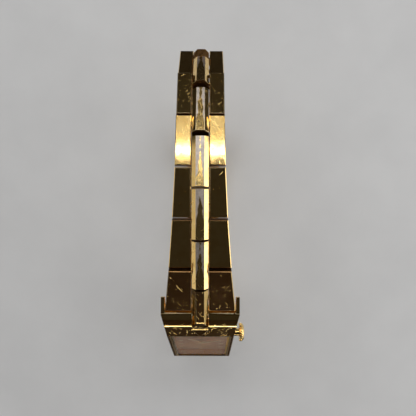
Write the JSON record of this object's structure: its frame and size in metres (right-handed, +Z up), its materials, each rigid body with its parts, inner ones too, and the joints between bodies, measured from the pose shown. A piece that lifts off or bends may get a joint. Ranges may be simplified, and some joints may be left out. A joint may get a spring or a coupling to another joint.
{
  "type": "rectangular bracelet watch",
  "caption": "Small rectangular wristwatch closed as worn, with a three-row bracelet of flat outer links and a raised centre ridge, and a fold-over clasp.",
  "frame": {"origin": "middle of the closed bracelet loop, on the watch's centre plane", "axes": "+X across the wrist towards the crown, +Z up through the 12 o'clock half of the bracelet; the case stands at -Y with its dial facing -Y and tilted up"},
  "size_m": [0.0175, 0.0732, 0.0485],
  "materials": {
    "gold": "polished gold-tone plating over steel",
    "worn": "gold-tone plating with a worn ridge",
    "back": "satin",
    "crystal": "clear",
    "seal": "matt",
    "dial": "sunburst champagne",
    "hands": "polished",
    "movement": "satin",
    "iron": "satin",
    "board": "satin",
    "holder": "matt",
    "magnet": "satin",
    "copper": "enamelled wire"
  },
  "bodies": {
    "case": {"case_middle": "gold", "crystal": "crystal", "crystal_gasket": "seal", "dial": "dial", "hour_markers": "hands", "movement_holder": "holder", "case_back": "back", "back_gasket": "seal", "main_plate": "iron", "train_bridge": "iron", "coil": "copper", "stator": "iron", "circuit_board": "board", "battery": "iron", "battery_strap": "iron", "movement_screws": "iron", "case_pins": "back", "crown_tube": "back"},
    "crown_slide": {"crown_seal": "seal"},
    "crown": {"crown": "gold", "winding_stem": "iron"},
    "minute_hand": {"minute_hand": "hands", "cannon_pinion": "movement", "centre_wheel": "movement"},
    "hour_hand": {"hour_hand": "hands", "hour_wheel": "movement"},
    "minute_wheel": {"minute_wheel": "movement"},
    "reduction_wheel": {"reduction_wheel": "movement"},
    "rotor": {"rotor": "magnet"},
    "link_12_1": {"outer_links_12_1": "gold", "centre_link_12_1": "worn"},
    "link_12_2": {"outer_links_12_2": "gold", "centre_link_12_2": "worn"},
    "link_12_3": {"outer_links_12_3": "gold", "centre_link_12_3": "worn"},
    "link_12_4": {"outer_links_12_4": "gold", "centre_link_12_4": "worn"},
    "link_12_5": {"outer_links_12_5": "gold", "centre_link_12_5": "worn"},
    "link_12_6": {"outer_links_12_6": "gold", "centre_link_12_6": "worn"},
    "link_12_7": {"outer_links_12_7": "gold", "centre_link_12_7": "worn"},
    "link_12_8": {"outer_links_12_8": "gold", "centre_link_12_8": "worn"},
    "link_12_9": {"outer_links_12_9": "gold", "centre_link_12_9": "worn"},
    "link_6_1": {"outer_links_6_1": "gold", "centre_link_6_1": "worn"},
    "link_6_2": {"outer_links_6_2": "gold", "centre_link_6_2": "worn"},
    "link_6_3": {"outer_links_6_3": "gold", "centre_link_6_3": "worn"},
    "link_6_4": {"outer_links_6_4": "gold", "centre_link_6_4": "worn"},
    "inner_blade": {"inner_blade": "back"},
    "middle_blade": {"middle_blade": "back", "clasp_pins": "back"},
    "cover": {"clasp_cover": "gold"}
  },
  "joints": [
    {"name": "hinge_12_1", "type": "hinge", "parent": "case", "child": "link_12_1", "pos_m": [0, -0.02172, 0.01664], "axis": [1, 0, 0], "range_deg": [0, 39.9]},
    {"name": "hinge_12_2", "type": "hinge", "parent": "link_12_1", "child": "link_12_2", "pos_m": [0, -0.01314, 0.02072], "axis": [1, 0, 0], "range_deg": [0, 19.8]},
    {"name": "hinge_12_3", "type": "hinge", "parent": "link_12_2", "child": "link_12_3", "pos_m": [0, -0.00383, 0.02263], "axis": [1, 0, 0], "range_deg": [0, 13.6]},
    {"name": "hinge_12_4", "type": "hinge", "parent": "link_12_3", "child": "link_12_4", "pos_m": [0, 0.00564, 0.02329], "axis": [1, 0, 0], "range_deg": [0, 13]},
    {"name": "hinge_12_5", "type": "hinge", "parent": "link_12_4", "child": "link_12_5", "pos_m": [0, 0.01513, 0.02279], "axis": [1, 0, 0], "range_deg": [0, 23]},
    {"name": "hinge_12_6", "type": "hinge", "parent": "link_12_5", "child": "link_12_6", "pos_m": [0, 0.02406, 0.01954], "axis": [1, 0, 0], "range_deg": [0, 28.2]},
    {"name": "hinge_12_7", "type": "hinge", "parent": "link_12_6", "child": "link_12_7", "pos_m": [0, 0.0311, 0.01316], "axis": [1, 0, 0], "range_deg": [0, 38.8]},
    {"name": "hinge_12_8", "type": "hinge", "parent": "link_12_7", "child": "link_12_8", "pos_m": [0, 0.03356, 0.00398], "axis": [1, 0, 0], "range_deg": [0, 39]},
    {"name": "hinge_12_9", "type": "hinge", "parent": "link_12_8", "child": "link_12_9", "pos_m": [0, 0.03062, -0.00505], "axis": [1, 0, 0], "range_deg": [0, 34]},
    {"name": "hinge_6_1", "type": "hinge", "parent": "case", "child": "link_6_1", "pos_m": [0, -0.03541, -0.00641], "axis": [-1, 0, 0], "range_deg": [0, 73.7]},
    {"name": "hinge_6_2", "type": "hinge", "parent": "link_6_1", "child": "link_6_2", "pos_m": [0, -0.02969, -0.014], "axis": [-1, 0, 0], "range_deg": [0, 27]},
    {"name": "hinge_6_3", "type": "hinge", "parent": "link_6_2", "child": "link_6_3", "pos_m": [0, -0.02163, -0.01903], "axis": [-1, 0, 0], "range_deg": [0, 24]},
    {"name": "hinge_6_4", "type": "hinge", "parent": "link_6_3", "child": "link_6_4", "pos_m": [0, -0.01241, -0.02133], "axis": [-1, 0, 0], "range_deg": [0, 20]},
    {"name": "clasp_hinge", "type": "hinge", "parent": "link_6_4", "child": "inner_blade", "pos_m": [0, -0.00291, -0.02133], "axis": [-1, 0, 0], "range_deg": [0, 15]},
    {"name": "blade_fold", "type": "hinge", "parent": "inner_blade", "child": "middle_blade", "pos_m": [0, 0.02069, -0.01364], "axis": [1, 0, 0], "range_deg": [0, 100]},
    {"name": "cover_fold", "type": "hinge", "parent": "middle_blade", "child": "cover", "pos_m": [0, 0.00038, -0.0213], "axis": [-1, 0, 0], "range_deg": [0, 110]},
    {"name": "crown_pull", "type": "slide", "parent": "case", "child": "crown_slide", "axis": [1, 0, 0], "range_m": [0, 0.0007]},
    {"name": "crown_turn", "type": "hinge", "parent": "crown_slide", "child": "crown", "pos_m": [0.0092, -0.02852, 0.00509], "axis": [1, 0, 0], "continuous": true},
    {"name": "minute_turn", "type": "hinge", "parent": "case", "child": "minute_hand", "pos_m": [0, -0.02916, 0.00547], "axis": [0, -0.8599, 0.5105], "continuous": true},
    {"name": "hour_turn", "type": "hinge", "parent": "case", "child": "hour_hand", "pos_m": [0, -0.02916, 0.00547], "axis": [0, -0.8599, 0.5105], "continuous": true},
    {"name": "minute_wheel_turn", "type": "hinge", "parent": "case", "child": "minute_wheel", "pos_m": [-0.00173, -0.02822, 0.00608], "axis": [0, -0.8599, 0.5105], "continuous": true},
    {"name": "reduction_turn", "type": "hinge", "parent": "case", "child": "reduction_wheel", "pos_m": [-0.0012, -0.02638, 0.00624], "axis": [0, -0.8599, 0.5105], "continuous": true},
    {"name": "rotor_turn", "type": "hinge", "parent": "case", "child": "rotor", "pos_m": [0.0002, -0.02523, 0.00837], "axis": [0, -0.8599, 0.5105], "continuous": true}
  ],
  "couplings": [
    {"joint": "hour_turn", "follows": "minute_turn", "ratio": 0.083333},
    {"joint": "minute_wheel_turn", "follows": "minute_turn", "ratio": -0.33333},
    {"joint": "reduction_turn", "follows": "minute_turn", "ratio": -5},
    {"joint": "rotor_turn", "follows": "minute_turn", "ratio": 30}
  ]
}
